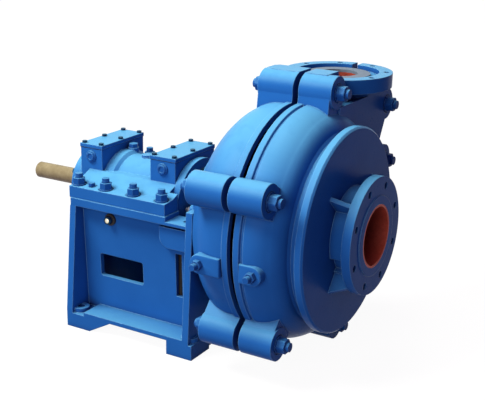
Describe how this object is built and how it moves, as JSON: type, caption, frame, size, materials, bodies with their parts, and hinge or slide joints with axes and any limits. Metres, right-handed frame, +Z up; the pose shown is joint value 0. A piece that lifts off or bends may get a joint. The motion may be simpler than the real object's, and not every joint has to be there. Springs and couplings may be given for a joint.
{
  "type": "slurry pump",
  "caption": "Horizontal centrifugal slurry pump with split bolted casing, elastomer linings, closed impeller and a shim-free sliding bearing assembly on a cast base.",
  "frame": {"origin": "centre of the four foundation bolt holes, on the plane of the feet", "axes": "+X along the shaft from the drive end to the suction flange, +Y away from the side shown in the picture, +Z up"},
  "size_m": [1.106, 0.763, 0.749],
  "materials": {
    "bearing_steel": "ground and polished",
    "blue_enamel": "gloss enamel over a sand-cast skin",
    "bolt_steel": "bolts painted over in the same enamel",
    "brass": "machined",
    "cage_brass": "machined",
    "joint_rubber": "moulded joint ring",
    "machined_steel": "machined",
    "packing": "graphited plaited packing",
    "red_lining": "moulded elastomer",
    "shaft_steel": "turned, under a tan preservative film",
    "white_iron": "as-cast abrasion-resistant iron"
  },
  "bodies": {
    "pump_frame": {"adapter_nuts": "bolt_steel", "adapter_studs": "bolt_steel", "adjusting_screw": "bolt_steel", "base_frame": "blue_enamel", "cover_plate": "blue_enamel", "discharge_joint": "joint_rubber", "drain_plug": "brass", "frame_plate": "blue_enamel", "gland_studs": "machined_steel", "hold_down_nuts": "bolt_steel", "hold_down_studs": "bolt_steel", "hold_down_washers": "bolt_steel", "lantern_ring": "brass", "lining_nuts": "bolt_steel", "lining_studs": "bolt_steel", "neck_ring": "brass", "packing_rings": "packing", "rear_side_liner": "red_lining", "stuffing_box": "white_iron", "throat_bush": "red_lining", "tie_bolts": "bolt_steel", "tie_nuts": "bolt_steel", "tie_washers": "bolt_steel", "volute_liner_front": "red_lining", "volute_liner_rear": "red_lining"},
    "bearing_assembly": {"bearing_housing": "blue_enamel", "lid_drive": "blue_enamel", "lid_wet": "blue_enamel", "lid_bolts": "bolt_steel", "box_plugs": "bolt_steel", "end_cover_drive": "blue_enamel", "end_cover_wet": "blue_enamel", "cover_bolts": "bolt_steel", "bearing_outer_drive": "bearing_steel", "bearing_outer_wet": "bearing_steel", "filler_cap": "bolt_steel", "vent_flange": "blue_enamel", "guide_bolts": "bolt_steel"},
    "rotor": {"shaft": "shaft_steel", "impeller": "white_iron", "shaft_sleeve": "machined_steel", "shaft_spacer": "machined_steel", "labyrinth_wet": "machined_steel", "lock_nut": "machined_steel", "bearing_inner_drive": "bearing_steel", "bearing_inner_wet": "bearing_steel"},
    "cage_drive_row": {"rollers_drive": "bearing_steel", "cage_drive": "cage_brass"},
    "cage_wet_row": {"rollers_wet": "bearing_steel", "cage_wet": "cage_brass"},
    "gland_follower": {"gland": "blue_enamel", "gland_nuts": "machined_steel"}
  },
  "joints": [
    {"name": "impeller_setting", "type": "slide", "parent": "pump_frame", "child": "bearing_assembly", "axis": [1, 0, 0], "range_m": [-0.002, 0.002]},
    {"name": "shaft_spin", "type": "hinge", "parent": "bearing_assembly", "child": "rotor", "pos_m": [0, 0, 0.365], "axis": [1, 0, 0], "continuous": true},
    {"name": "cage_spin_drive", "type": "hinge", "parent": "bearing_assembly", "child": "cage_drive_row", "pos_m": [-0.215, 0, 0.365], "axis": [1, 0, 0], "continuous": true},
    {"name": "cage_spin_wet", "type": "hinge", "parent": "bearing_assembly", "child": "cage_wet_row", "pos_m": [0.04, 0, 0.365], "axis": [1, 0, 0], "continuous": true},
    {"name": "gland_back_off", "type": "slide", "parent": "pump_frame", "child": "gland_follower", "axis": [-1, 0, 0], "range_m": [0, 0.01]}
  ],
  "couplings": [
    {"joint": "cage_spin_drive", "follows": "shaft_spin", "ratio": 0.4221},
    {"joint": "cage_spin_wet", "follows": "shaft_spin", "ratio": 0.4221}
  ]
}
